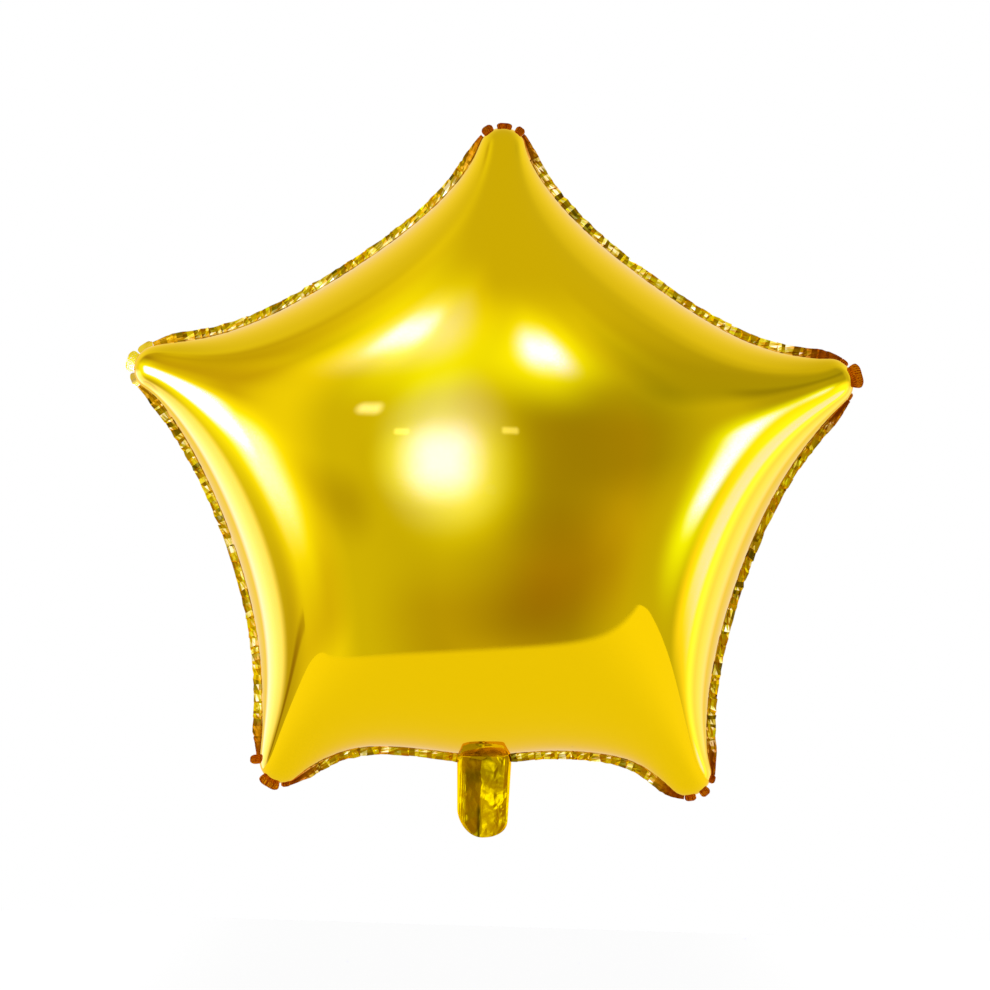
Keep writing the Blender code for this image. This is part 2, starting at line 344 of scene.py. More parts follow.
# At a tip the band has these shares of its width and of its folding, and leans by this slope. It widens
# over the first length, and its folds begin at the second and are whole after the third, in metres
TIP_WIDTH, TIP_FOLDING, TIP_LEAN = 0.42, 0.10, 0.35
WIDENS_OVER, FOLDS_FROM, FOLDS_OVER = 0.014, 0.008, 0.024
# How much chance changes: the spacing and depth of the folds, the width, the slant of a fold, the place
# of a point across the band and out of its plane
SPACING_CHANCE, DEPTH_CHANCE = (0.45, 1.7), (0.25, 1.25)
WIDTH_CHANCE, SLANT_CHANCE = 0.04, 0.7
ACROSS_CHANCE, OFF_PLANE_CHANCE = 0.00010, 0.00024
# The darkest painted shade of a flat, and how much the painted shade of the faces of one flat differs
DARKEST_PAINTED_SHADE, PAINTED_SHADE_CHANCE = 0.85, 0.22
# What the tabs take of the edge at each tip, counter-clockwise and clockwise of its middle, in metres
TAB_SPANS = ((0.0126, 0.0114), (0.0104, 0.0140), (0.0114, 0.0096), (0.0120, 0.0142), (0.0138, 0.0136))
chance = np.random.default_rng(11)


def side_curve(arm):
    """The edge from one arm's tip through the valley to the next arm's tip, less what the tabs take."""
    whole = np.vstack([edge_of(arm, 1), edge_of((arm + 1) % 5, -1)[::-1][1:]])
    total = length(whole)
    first, last = TAB_SPANS[arm][1] / total, 1 - TAB_SPANS[(arm + 1) % 5][0] / total
    return along(whole, np.linspace(first, last, 2 * CURVE_POINTS))


def fold_columns(total):
    """Places of the folds along a side, as shares of its length: steps of uneven size, added up."""
    steps = FOLD_SPACING * chance.uniform(*SPACING_CHANCE, round(total / FOLD_SPACING))
    return np.concatenate([[0], np.cumsum(steps) / steps.sum()])


def frame_along(curve, share):
    """Points on a curve with the unit vectors along it and out of it."""
    step = 5e-4
    point = along(curve, share)
    run = along(curve, np.clip(share + step, 0, 1)) - along(curve, np.clip(share - step, 0, 1))
    run /= np.linalg.norm(run, axis=-1)[..., None]
    return point, run, np.stack([-run[..., 1], run[..., 0]], axis=-1)


def closed_strip(front, back):
    """Joins two grids of the same size, one in front of the other, into one closed thin body."""
    rows, columns = front.shape[:2]
    size = rows * columns
    faces = grid_faces(rows, columns)
    index = np.arange(size).reshape(rows, columns)
    loop = np.concatenate([index[0, :-1], index[:-1, -1], index[-1, :0:-1], index[:0:-1, 0]])
    following = np.roll(loop, -1)
    walls = np.column_stack([loop, following, following + size, loop + size])
    points = np.vstack([front.reshape(-1, 3), back.reshape(-1, 3)])
    return points, np.vstack([faces, faces[:, ::-1] + size, walls])


def seal_strip(arm):
    """One side's strip. A point lies out from the edge by its row's share of the width, and stands off the
    plane by its fold's height times that share, so the folds open outward like a fan. Near the tips the
    strip is narrow, hardly folded, and leans towards the front film. With the body comes a number for each
    face, drawn by chance: its painted shade, up to 1, or below 0 a painted glint."""
    curve = side_curve(arm)
    total = length(curve)
    share = fold_columns(total)
    columns = len(share)
    point, run, out = frame_along(curve, share)
    from_end = np.minimum(share, 1 - share) * total
    width = SEAL_WIDTH * (TIP_WIDTH + (1 - TIP_WIDTH) * smooth_step(from_end / WIDENS_OVER))
    width = width * (1 + WIDTH_CHANCE * chance.normal(size=columns))
    folded = TIP_FOLDING + (1 - TIP_FOLDING) * smooth_step((from_end - FOLDS_FROM) / FOLDS_OVER)
    sign = np.where(np.arange(columns) % 2, 1.0, -1.0)
    height = sign * FOLD_DEPTH * folded * chance.uniform(*DEPTH_CHANCE, columns)
    rise = np.clip(SEAL_ROWS, 0, None)[:, None]
    jitter = chance.normal(size=(len(SEAL_ROWS), columns)) * rise * folded
    slant = chance.uniform(-SLANT_CHANCE, SLANT_CHANCE, columns) * FOLD_SPACING * folded
    outward_by = SEAL_ROWS[:, None] * width + ACROSS_CHANCE * jitter
    flat = point + outward_by[..., None] * out + (rise * slant)[..., None] * run
    y = height * rise + OFF_PLANE_CHANCE * jitter - TIP_LEAN * width * rise * (1 - folded)
    grid = np.stack([flat[..., 0], y, flat[..., 1] + STAR_CENTRE_Z], axis=-1)
    offset = np.array([0, SEAL_THICKNESS / 2, 0])
    points, faces = closed_strip(grid - offset, grid + offset)
    # Painted shade and painted glints, by chance: a share for each flat, and a little more or less for each
    # face
    painted_shade = DARKEST_PAINTED_SHADE * chance.uniform(0, 1, columns - 1) ** 4
    painted_shade = painted_shade + chance.normal(0, PAINTED_SHADE_CHANCE, (len(SEAL_ROWS) - 1, columns - 1))
    walls = np.zeros(len(faces) - 2 * painted_shade.size)
    return points, faces, np.concatenate([painted_shade.ravel(), painted_shade.ravel(), walls])


def stack(parts):
    """Puts bodies given as (points, faces) one after another in one pair of arrays."""
    starts = np.cumsum([0] + [len(points) for points, _ in parts[:-1]])
    faces = [faces + start for (_, faces), start in zip(parts, starts)]
    return np.vstack([points for points, _ in parts]), np.vstack(faces)


strips = [seal_strip(arm) for arm in range(5)]
seal = make_piece("seal_band", *stack([strip[:2] for strip in strips]))
# Each face keeps its number: painted shade up to 1, a painted glint below 0
shade_and_glint = seal.data.attributes.new("shade_and_glint", "FLOAT", "FACE")
shade_and_glint.data.foreach_set("value", np.concatenate([strip[2] for strip in strips]).clip(-1, 1))

# %% [markdown]
# ## The tabs round the tips
# At a tip the band would have to bunch up most, so the makers' knife cuts it into small tabs. They keep the
# fine ribs that the hot jaws pressed into them. Each tab here is a small closed plate: a rounded square in
# outline, with the ribs running outward. Most lean a little forward, and their dark orange is painted shade.
# Those of the left tip are folded far back and stretched flat, so they mirror the bright window wall, and
# their pale colour is painted window light.

# %% One tab
TAB_THICKNESS = 0.0004
RIB_DEPTH, RIB_SPACING_MM = 0.00022, 1.3
# How far a tab's root lies inside the edge, how high its soft wave is, both in metres, and how much of
# its width and of its reach the rounded corners take
TAB_INSIDE, TAB_WAVE = 0.0012, 0.0004
CORNER_WIDTH, CORNER_REACH = 0.22, 0.16
TAB_COLUMNS, TAB_ROWS = 33, 11
LEFT_ARM = 4
# Each row: the arm, the place round its tip in mm from the middle (clockwise), width and reach in mm, and
# how much the tab leans, backwards where positive
TABS = (
    (0, -8.6, 7.0, 4.6, -0.35), (0, 0.5, 8.8, 3.6, -0.45), (0, 8.9, 5.6, 4.6, -0.25),
    (1, -8.4, 5.4, 2.8, -0.3), (1, 0.8, 14.2, 6.2, -0.45), (1, 12.2, 5.0, 2.4, -0.2),
    (2, -9.2, 5.2, 3.6, -0.4), (2, -1.6, 6.0, 4.6, -0.3), (2, 6.4, 6.6, 3.8, -0.4),
    (3, -10.2, 5.6, 3.2, -0.3), (3, -1.6, 12.4, 5.2, -0.4), (3, 12.0, 5.4, 6.0, -0.5),
    (4, -9.8, 8.0, 4.6, 1.1), (4, -0.6, 12.0, 6.8, 1.1), (4, 9.0, 9.6, 4.6, 1.2),
)


def tab(arm, place, width, reach, lean):
    """A tab's points: across it runs u from -1 to 1, outward v from 0 to 1. Its half width follows a
    rounded square. Tabs that lean forward have ribs pressed into them, a cosine of u."""
    curve = np.vstack([edge_of(arm, -1)[::-1], edge_of(arm, 1)[1:]])
    total = length(curve)
    share = length(edge_of(arm, -1)) / total + place / 1000 / total
    point, run, out = (part[0] for part in frame_along(curve, np.array([share])))
    u = np.linspace(-1, 1, TAB_COLUMNS)[None, :]
    v = np.linspace(0, 1, TAB_ROWS)[:, None]
    half = width / 2000 * (1 - CORNER_WIDTH * (1 - v) ** 2) * (1 - CORNER_WIDTH * v**6)
    reach_here = reach / 1000 * (1 - CORNER_REACH * np.abs(u) ** 4)
    outward_by = v * reach_here - TAB_INSIDE
    flat = point + outward_by[..., None] * out + (u * half)[..., None] * run
    ribs = RIB_DEPTH * np.cos(math.pi * u * width / RIB_SPACING_MM) * smooth_step(v * 2) * (lean < 0)
    y = lean * v * reach_here + ribs + TAB_WAVE * np.sin(2.2 * u + 3 * place)
    grid = np.stack([flat[..., 0], y, flat[..., 1] + STAR_CENTRE_Z], axis=-1)
    offset = np.array([0, TAB_THICKNESS / 2, 0])
    return closed_strip(grid - offset, grid + offset)


tabs = make_piece("tip_tabs", *stack([tab(*row) for row in TABS if row[0] != LEFT_ARM]))
left_tabs = make_piece("left_tip_tabs", *stack([tab(*row) for row in TABS if row[0] == LEFT_ARM]))

# %% [markdown]
# ## The filling neck
# The neck is the flat tube through which the balloon is filled. Two clear strips inside it close by
# themselves, so it hangs empty below them, and hands have pressed it flat and creased it. Its sides are
# sealed lips. Its front is creased down the middle, and where it leaves the star it arches up over the
# film in two flats. It is drawn as a section carried down its own length, and the creases are added as
# sharp ridges at chance places. The filling hole is in its back.

# %% Creases
NECK_LENGTH = 0.0400
NECK_ROOT_WIDTH, NECK_END_WIDTH = 0.0295, 0.0270
# Half its thickness where it is puffed, at the root and at the end, and then in the lips
NECK_ROOT_HALF, NECK_END_HALF = 0.0046, 0.0020
NECK_LIP_WIDTH, NECK_LIP_HALF = 0.0028, 0.0006
# How far above the end its rounding begins, and how full the curve is, on the left and on the right
END_ROUNDINGS, END_FULLNESS = (0.0155, 0.0100), (1.8, 2.4)
# The arch stands this high off the star's film, ends this far above the root, and is narrower by this
# share. Its ridge runs aslant from this share of the half width to the middle
ARCH_RISE, ARCH_TOP, ARCH_NARROWS, ARCH_RIDGE = 0.0050, 0.0120, 0.20, -0.95
# The front film across the neck: shares of the half width, and how high it stands there
FRONT_ACROSS = (-1.0, -0.93, -0.82, -0.10, 0.76, 0.91, 1.0)
FRONT_HEIGHT = (0.0, 0.66, 0.94, 0.24, 0.60, 0.50, 0.0)
# Creases all over the film and fine ones on its right: their number, half width and depth
CREASES = ((36, 0.0034, 0.00020), (60, 0.0015, 0.00008))
FINE_CREASES, FINE_CREASES_FROM = (90, 0.0009, 0.00010), 0.004
# The crease down the middle, and the upright pleats beside the left lip
MIDDLE_CREASE_PLACE, MIDDLE_CREASE_WIDTH, MIDDLE_CREASE_DEPTH = -0.0012, 0.0008, 0.0003
PLEAT_SPACING, PLEAT_DEPTH, PLEATS_FROM = 0.0011, 0.00012, 0.0088
PORT_RADIUS, PORT_BELOW_ROOT, PORT_DEPTH = 0.0035, 0.0190, 0.0009
NECK_INSIDE = 0.0130
NECK_COLUMNS, NECK_ROWS = 121, 161


def creases(x, z, count, half_width, depth, seed):
    """Sharp ridges at chance places: for each crease, a tent across its line (one less the distance over
    the half width, never below zero), faded out towards the crease's ends."""
    dice = np.random.default_rng(seed)
    total = np.zeros_like(x)
    for _ in range(count):
        centre_x = dice.uniform(-0.5, 0.5) * NECK_ROOT_WIDTH
        centre_z = dice.uniform(-NECK_LENGTH, 0.008)
        turn = dice.normal(0, 0.7)
        across = (x - centre_x) * math.cos(turn) + (z - centre_z) * math.sin(turn)
        down = -(x - centre_x) * math.sin(turn) + (z - centre_z) * math.cos(turn)
        reach = dice.uniform(3, 8) * half_width
        tent = np.clip(1 - np.abs(across) / half_width, 0, None)
        total += dice.choice([-1, 1]) * depth * tent * np.clip(1 - (down / reach) ** 2, 0, None)
    return total


def wrinkles(x, z, facing):
    """All the small relief of one film. In front it has the middle crease, a groove with a section like a
    tent. Behind it has the filling hole, a round dent."""
    seed = 3 if facing < 0 else 13
    relief = sum(creases(x, z, *kind, seed + k) for k, kind in enumerate(CREASES))
    fine = creases(x, z, *FINE_CREASES, seed + len(CREASES))
    relief += fine * smooth_step((x - FINE_CREASES_FROM) / 0.004)
    pleats = PLEAT_DEPTH * np.sin(math.tau * x / PLEAT_SPACING) * smooth_step((-x - PLEATS_FROM) / 0.001)
    relief += pleats * smooth_step((-z - 0.003) / 0.004)
    if facing < 0:
        groove = np.clip(1 - np.abs(x - MIDDLE_CREASE_PLACE) / MIDDLE_CREASE_WIDTH, 0, 1)
        relief -= MIDDLE_CREASE_DEPTH * groove * smooth_step((-z - 0.018) / 0.006)
    else:
        from_port = np.hypot(x, z + PORT_BELOW_ROOT)
        relief -= PORT_DEPTH * smooth_step((PORT_RADIUS - from_port) / 0.0003)
    return relief


# %% The neck's surface
def half_width_at(u, z):
    """Half the neck's width. It tapers downward, is rounded off at the end by a root of one less a power
    of how far into the rounding the point lies, and draws in under the arch."""
    share_down = np.clip(-z / NECK_LENGTH, 0, 1)
    straight = (NECK_ROOT_WIDTH + (NECK_END_WIDTH - NECK_ROOT_WIDTH) * share_down) / 2
    left, right = (np.clip(1 - (z + NECK_LENGTH) / rounding, 0, 1) ** fullness
                   for rounding, fullness in zip(END_ROUNDINGS, END_FULLNESS))
    rounded = np.sqrt(np.clip(1 - np.where(u < 0, left, right), 1e-4, None))
    return straight * rounded * (1 - ARCH_NARROWS * smooth_step((z - 0.003) / 0.008))


def arch(u, x, z):
    """How far the arch stands off the seal's plane: the star's own film and a roof on it, which falls
    away in straight lines from its ridge."""
    ridge = np.clip(ARCH_RIDGE + (z - 0.004) / 0.0090, ARCH_RIDGE, 0.0)
    roof = 1 - np.abs(u - ridge) / (1 + np.abs(ridge))
    film_here = bulge(np.stack([x, np.maximum(z, 0.0) - STAR_CENTRE_Z], axis=-1))
    risen = film_here + ARCH_RISE * roof * (1 - smooth_step((z - ARCH_TOP) / 0.0025)) - 0.0005
    return smooth_step((z - 0.001) / 0.003) * risen


def neck_film(facing):
    """One of the neck's two films, from inside the star down to its round end. Its height is a lip plus
    a puff times a section. Behind, that is half an ellipse. In front it is two flats that meet in a
    crease, and the arch where that stands higher."""
    u = np.linspace(-1, 1, NECK_COLUMNS)[None, :]
    down = np.linspace(0, 1, NECK_ROWS)[:, None]
    top = NECK_INSIDE + SEAL_WIDTH
    z = top - (top + NECK_LENGTH) * np.sin(down * math.pi / 2 * 0.999)
    half = half_width_at(u, z)
    x = u * half
    z = np.broadcast_to(z, x.shape)
    puff = NECK_ROOT_HALF + (NECK_END_HALF - NECK_ROOT_HALF) * np.clip(-z / NECK_LENGTH, 0, 1)
    near_end = smooth_step((z + NECK_LENGTH) / 0.009)
    if facing < 0:
        section = np.interp(u, FRONT_ACROSS, FRONT_HEIGHT)
    else:
        open_share = np.clip(np.abs(x) / np.maximum(half - NECK_LIP_WIDTH, half / 2), 0, 1)
        section = np.sqrt(1 - open_share**2)
    height = NECK_LIP_HALF + (puff - NECK_LIP_HALF) * near_end * section
    if facing < 0:
        height = np.maximum(height, arch(u, x, z))
    loose = smooth_step((1 - np.abs(u)) / 0.08) * smooth_step((z + NECK_LENGTH) / 0.003)
    height = np.maximum(height + loose * wrinkles(x, z, facing), NECK_LIP_HALF / 2)
    return np.stack([x, facing * height, z], axis=-1)


neck = make_piece("filling_neck", *closed_strip(neck_film(-1), neck_film(1)))
neck.data.shade_smooth()

# %% Painted shade of the neck
def neck_painted_shade(x, z, y):
    """How much painted shade each point of the front film gets, none behind: on the flap at the arch's top
    left, the fold below it, the hollow under the arch, the middle crease and the left half. Each is a
    strength times a bell or S-shaped steps, whose places and widths are in metres."""
    flap_edge = z - 0.0042 - 0.71 * (x + 0.013)
    flap = 0.60 * smooth_step(flap_edge / 0.0008) * smooth_step((0.0005 - x) / 0.0012)
    fold_edge = 0.0072 - np.abs(x + 0.002) - 0.6 * (z - 0.002)
    fold = 0.42 * smooth_step((z - 0.001) / 0.002) * smooth_step(fold_edge / 0.001)
    hollow = 0.42 * np.exp(-(((z + 0.004) / 0.0085) ** 2)) * smooth_step((0.012 - np.abs(x)) / 0.003)
    beside_crease = x - MIDDLE_CREASE_PLACE
    crease = 0.70 * np.exp(-(((beside_crease + 0.0006) / 0.0012) ** 2)) * smooth_step((-z - 0.020) / 0.006)
    left = smooth_step(-beside_crease / 0.0015) * smooth_step((0.0105 + x) / 0.001)
    half = 0.26 * left * smooth_step(-z / 0.006)
    return np.where(y < 0, np.clip(flap + fold + hollow + crease + half, 0, 1), 0)


neck_points = np.empty(3 * len(neck.data.vertices), dtype=np.float32)
neck.data.vertices.foreach_get("co", neck_points)
neck_x, neck_y, neck_z = neck_points.reshape(-1, 3).T
# Painted shade of the neck's front film, kept for each point
neck_shade = neck.data.attributes.new("shade_and_glint", "FLOAT", "POINT")
neck_shade.data.foreach_set("value", neck_painted_shade(neck_x, neck_z, neck_y).astype(np.float32))

# %% [markdown]
# ## The film's finish
# The real material is polyester film, 0.03 mm thick, metallised in vacuum and coated with a clear
# yellow lacquer. The metal under the lacquer makes it a mirror and the lacquer makes it gold. The
# lacquer's own surface is clear, so it adds a faint white reflection on top: bright lamps show a white
# core in a yellow glow, and the rims go pale. In Blender that is a metal with a coat.

# %% Lacquered film
CREASED, SMOOTH = ("ShaderNodeTexVoronoi", "Distance"), ("ShaderNodeTexNoise", "Fac")
HAZE_VARIES = 0.4
# A face whose number falls below the first of these begins to get a painted glint, whole at the second
GLINT_FROM, GLINT_FULL = -0.15, -0.45
# The seal gets painted shade in a deeper orange between these distances from the star's centre, but not left
# of these places across, where the window lights the left tip
TIP_SHADE_FROM, TIP_SHADE_FULL = 0.175, 0.192
NOT_LEFT_OF, NOT_LEFT_FULL = -0.165, -0.145


def lacquered_film(name, base, roughness, relief, relief_size, relief_depth, coat=0.0, edge_tint="#F8E07A"):
    """A metal with a clear coat. Haze varies by noise. The relief is soft noise or, for creased film,
    the distance to the nearest of scattered points, which makes flats that meet in sharp creases."""
    material = bpy.data.materials.new(name)
    material.use_nodes = True
    tree = material.node_tree
    tree.nodes.clear()
    place = add(tree, "ShaderNodeTexCoord").outputs["Object"]
    grain = add(tree, "ShaderNodeTexNoise", inputs={
        "Vector": place, "Scale": 0.3 / relief_size, "Detail": 3.0}).outputs["Fac"]
    haze = ranged(tree, grain, 0.0, 1.0, roughness * (1 - HAZE_VARIES), roughness * (1 + HAZE_VARIES))
    texture, output = relief
    height = add(tree, texture, inputs={"Vector": place, "Scale": 1 / relief_size}).outputs[output]
    bump = add(tree, "ShaderNodeBump", inputs={"Height": height, "Strength": 1.0, "Distance": relief_depth})
    shader = add(tree, "ShaderNodeBsdfPrincipled", inputs={
        "Base Color": linear(base), "Specular Tint": linear(edge_tint), "Metallic": 1.0,
        "Roughness": haze, "Normal": bump.outputs["Normal"],
        "Coat Weight": coat, "Coat Roughness": 0.02, "Coat IOR": 1.5})
    add(tree, "ShaderNodeOutputMaterial", inputs={"Surface": shader.outputs["BSDF"]})
    return material


def base_colour(material):
    """The base colour's socket on the material's shader."""
    return material.node_tree.nodes["Principled BSDF"].inputs["Base Color"]


def painted_shade_and_glint_colours(material, plain, shade_colour, glint):
    """Mixes painted shade and painted glints into the colour of folded film. Where the number is above 0 the
    colour goes towards a dark one, painted shade that stands in for the other side of a fold mirrored in it.
    Where the number is below 0 it goes towards a pale one, a painted glint that stands in for a lamp caught."""
    tree = material.node_tree
    depth = add(tree, "ShaderNodeAttribute", {"attribute_name": "shade_and_glint"}).outputs["Fac"]
    flats = mixed(tree, depth, linear(plain), linear(shade_colour))
    lit = ranged(tree, depth, GLINT_FROM, GLINT_FULL)
    tree.links.new(mixed(tree, lit, flats, linear(glint)), base_colour(material))


def painted_tip_shade(material, tip_shade):
    """Mixes painted shade, a deeper orange, into the colour towards the tips, by the distance from the
    star's centre: it stands in for film bunched up there mirroring itself, each bounce passing the yellow
    lacquer once more. The left tip lies open to the window and is left without it."""
    tree = material.node_tree
    place = add(tree, "ShaderNodeTexCoord").outputs["Object"]
    distance = add(tree, "ShaderNodeVectorMath", {"operation": "DISTANCE"}, {
        0: place, 1: (0.0, 0.0, STAR_CENTRE_Z)}).outputs["Value"]
    across = add(tree, "ShaderNodeSeparateXYZ", inputs={"Vector": place}).outputs["X"]
    near_tip = ranged(tree, distance, TIP_SHADE_FROM, TIP_SHADE_FULL)
    share = maths(tree, "MULTIPLY", near_tip, ranged(tree, across, NOT_LEFT_OF, NOT_LEFT_FULL))
    colour = base_colour(material).links[0].from_socket
    tree.links.new(mixed(tree, share, colour, linear(tip_shade)), base_colour(material))


film = lacquered_film("lacquered_metallised_film", "#F0C800", 0.03, SMOOTH, 0.012, 0.000004,
                      coat=0.02, edge_tint="#FBE8CE")
sealed = lacquered_film("heat_sealed_film", "#F2C404", 0.06, CREASED, 0.0024, 0.00006)
# The seal's colour carries painted shade and painted glints on its faces, and painted shade in a deeper
# orange towards the tips
painted_shade_and_glint_colours(sealed, "#F2C404", "#6E5A00", "#FFF20C")
# Painted shade in a deeper orange towards the tips
painted_tip_shade(sealed, "#A45800")
# The tabs' dark orange is painted shade, and the pale colour of the left tip's tabs is painted window light
shaded_tab_film = lacquered_film("jaw_ribbed_film_painted_shade", "#BE6800", 0.12, CREASED, 0.0012, 0.00009)
painted_window_light_film = lacquered_film("jaw_pressed_film_painted_window_light", "#FFDC40", 0.16, SMOOTH, 0.0030, 0.00004)
crushed = lacquered_film("hand_creased_film", "#E6B200", 0.14, SMOOTH, 0.0016, 0.00005)
# The neck's colour carries painted shade in its folds, under the arch and on its left half
painted_shade_and_glint_colours(crushed, "#E6B200", "#4E3C00", "#FFF20C")
for piece, finish in ((envelope, film), (seal, sealed), (tabs, shaded_tab_film), (left_tabs, painted_window_light_film),
                      (neck, crushed)):
    piece.data.materials.append(finish)

# %% [markdown]
# ## The studio
# A mirror has no look of its own: it shows the room. So the room is part of the lighting. It is drawn
# in the world's shader by direction, as a photographer would plan it: a pale ceiling, a dim warm side
# towards the camera, a tall window on the left, a strip light on the right and three soft lamps.
# The camera itself sees plain white, and so does the floor's light.

# %% The room by direction
world = bpy.data.worlds.new("studio")
world.use_nodes = True
bpy.context.scene.world = world
room = world.node_tree
room.nodes.clear()


def in_degrees(operation, *values):
    """An angle by one of the inverse functions, in degrees."""
    return maths(room, "MULTIPLY", maths(room, operation, *values), 180 / math.pi)


def coloured(operation, first, second):
    """One step of arithmetic on colours in the world's shader. SCALE multiplies a colour by a number."""
    socket = 3 if operation == "SCALE" else 1
    made = add(room, "ShaderNodeVectorMath", {"operation": operation}, {0: first, socket: second})
    return made.outputs["Vector"]


direction = add(room, "ShaderNodeTexCoord").outputs["Generated"]
axes = add(room, "ShaderNodeSeparateXYZ", inputs={"Vector": direction}).outputs
azimuth = in_degrees("ARCTAN2", axes["X"], maths(room, "MULTIPLY", axes["Y"], -1.0))
elevation = in_degrees("ARCSINE", axes["Z"])


def panel(across, up, half_width, half_height, edge, power, colour):
    """A soft-edged light at a direction in degrees (across from the camera's direction, and up). It
    falls off with the distance beyond its half width and half height, over the edge."""
    off_x = maths(room, "ABSOLUTE", maths(room, "SUBTRACT", azimuth, across))
    off_x = maths(room, "MULTIPLY", off_x, math.cos(math.radians(up)))
    off_y = maths(room, "ABSOLUTE", maths(room, "SUBTRACT", elevation, up))
    squares = []
    for off, half in ((off_x, half_width), (off_y, half_height)):
        beyond = maths(room, "MAXIMUM", maths(room, "SUBTRACT", off, half), 0.0)
        squares.append(maths(room, "POWER", beyond, 2.0))
    distance = maths(room, "SQRT", maths(room, "ADD", *squares))
    falls_off = ranged(room, distance, edge, 0.0, kind="SMOOTHSTEP")
    return coloured("SCALE", colour, maths(room, "POWER", falls_off, power))


def all_of(rows):
    """The sum of several panels."""
    total = panel(*rows[0])
    for row in rows[1:]:
        total = coloured("ADD", total, panel(*row))
    return total


# %% Walls and ceiling
# Brightness of the walls by direction across, in degrees from the camera's own direction
WALL_STOPS = (
    (-180, 1.1), (-126, 1.12), (-100, 0.84), (-80, 1.1), (-62, 1.04), (-46, 0.76), (-20, 0.70), (5, 0.80),
    (30, 0.77), (60, 0.69), (98, 0.68), (108, 0.72), (126, 1.12), (180, 1.1),
)
WALL_RED = 0.95
CEILING = (0.70, 0.70, 0.68, 1.0)
CEILING_FROM, CEILING_FULL = 26.0, 68.0
walls = add(room, "ShaderNodeValToRGB", inputs={"Fac": ranged(room, azimuth, -180.0, 180.0)})
walls.color_ramp.interpolation = "EASE"
ramp = walls.color_ramp.elements
while len(ramp) > 1:
    ramp.remove(ramp[-1])
for place, level in WALL_STOPS:
    stop = ramp.new((place + 180) / 360)
    stop.color = (level * WALL_RED, level, level, 1.0)
ramp.remove(ramp[0])
above = ranged(room, elevation, CEILING_FROM, CEILING_FULL, kind="SMOOTHSTEP")
shell = mixed(room, above, walls.outputs["Color"], CEILING)

# %% Lamps and windows
# Each row: across, up, half width, half height and edge in degrees, power, colour. A lamp is a small core
# in a wide glow. The lacquer keeps nearly all blue back, so a core's blue is far above 1: it is what
# turns the lamp's mirror image white.
LAMPS = (
    # The soft lamp left of the camera
    (-13.9, 8.0, 2.0, 2.0, 13.2, 1.2, (0.3, 0.3, 540.0)),
    (-13.9, 11.0, 1.0, 7.0, 21.0, 1.3, (0.0, 0.0, 110.0)),
    (-20.9, 6.3, 1.8, 0.2, 14.0, 0.85, (0.33, 0.52, 0.0)),
    (-10.4, 4.9, 0.2, 1.7, 28.7, 1.75, (0.65, 1.0, 0.0)),
    # The lamp high on the right
    (20.2, 42.2, 2.2, 0.4, 9.8, 1.7, (0.3, 0.3, 840.0)),
    (26.2, 44.0, 4.0, 0.2, 15.0, 1.4, (0.34, 0.53, 0.0)),
    (16.2, 36.0, 0.2, 0.8, 17.4, 1.25, (0.25, 0.34, 0.0)),
    # The lamp high on the left
    (-44.0, 49.3, 2.9, 0.5, 7.8, 1.4, (0.3, 0.3, 540.0)),
    (-37.6, 47.9, 8.0, 0.7, 14.5, 1.6, (0.0, 0.0, 130.0)),
    (-52.7, 53.5, 11.0, 0.2, 16.0, 1.1, (0.10, 0.22, 0.0)),
    (-45.2, 48.9, 2.0, 0.4, 13.0, 1.25, (0.41, 0.60, 0.0)),
    # The window on the left
    (-86.0, 2.5, 3.2, 5.0, 8.0, 1.2, (0.8, 0.9, 700.0)),
    (-77.7, -5.5, 2.6, 3.6, 11.4, 1.3, (0.2, 0.3, 270.0)),
    (-95.0, 6.8, 3.0, 10.0, 19.0, 0.8, (0.49, 0.70, 0.0)),
    (-75.5, -6.3, 3.0, 8.0, 20.0, 2.0, (0.40, 0.60, 0.0)),
    # The strip light on the right
    (75.6, -2.0, 1.2, 7.2, 7.3, 1.3, (0.4, 0.5, 560.0)),
    (74.0, -3.0, 0.5, 9.0, 17.0, 1.5, (0.55, 1.05, 0.0)),
    (90.0, 2.8, 10.0, 6.8, 8.5, 0.8, (0.17, 0.26, 0.0)),
    (99.4, -8.0, 7.2, 9.4, 11.4, 0.8, (0.89, 0.80, 2.0)),
    (98.0, -14.0, 3.0, 3.0, 5.5, 1.2, (0.0, 0.0, 80.0)),
    # Light that the lamps throw on the ceiling and the wall
    (-61.6, 51.4, 24.4, 3.3, 18.5, 1.5, (0.25, 0.30, 0.0)),
    (-20.5, 24.2, 2.3, 6.0, 18.5, 2.0, (0.21, 0.37, 0.0)),
    (-8.0, 39.9, 20.4, 0.2, 23.0, 1.7, (0.29, 0.49, 0.0)),
    (27.0, 51.9, 19.3, 0.2, 13.5, 1.5, (0.14, 0.18, 0.0)),
    # Light from behind on both sides, which the steep rims mirror
    (-121.0, -15.0, 10.0, 8.0, 9.0, 1.0, (0.60, 0.72, 16.0)),
    (121.0, -15.0, 10.0, 8.0, 9.0, 1.0, (0.60, 0.36, 5.0)),
    # Three far ceiling lights
    (-37.0, 23.5, 1.6, 0.2, 3.0, 1.0, (0.7, 0.9, 150.0)),
    (-26.0, 16.0, 1.4, 0.3, 1.2, 1.0, (0.5, 0.6, 55.0)),
    (5.0, 17.0, 1.6, 0.3, 1.2, 1.0, (0.5, 0.6, 55.0)),
)
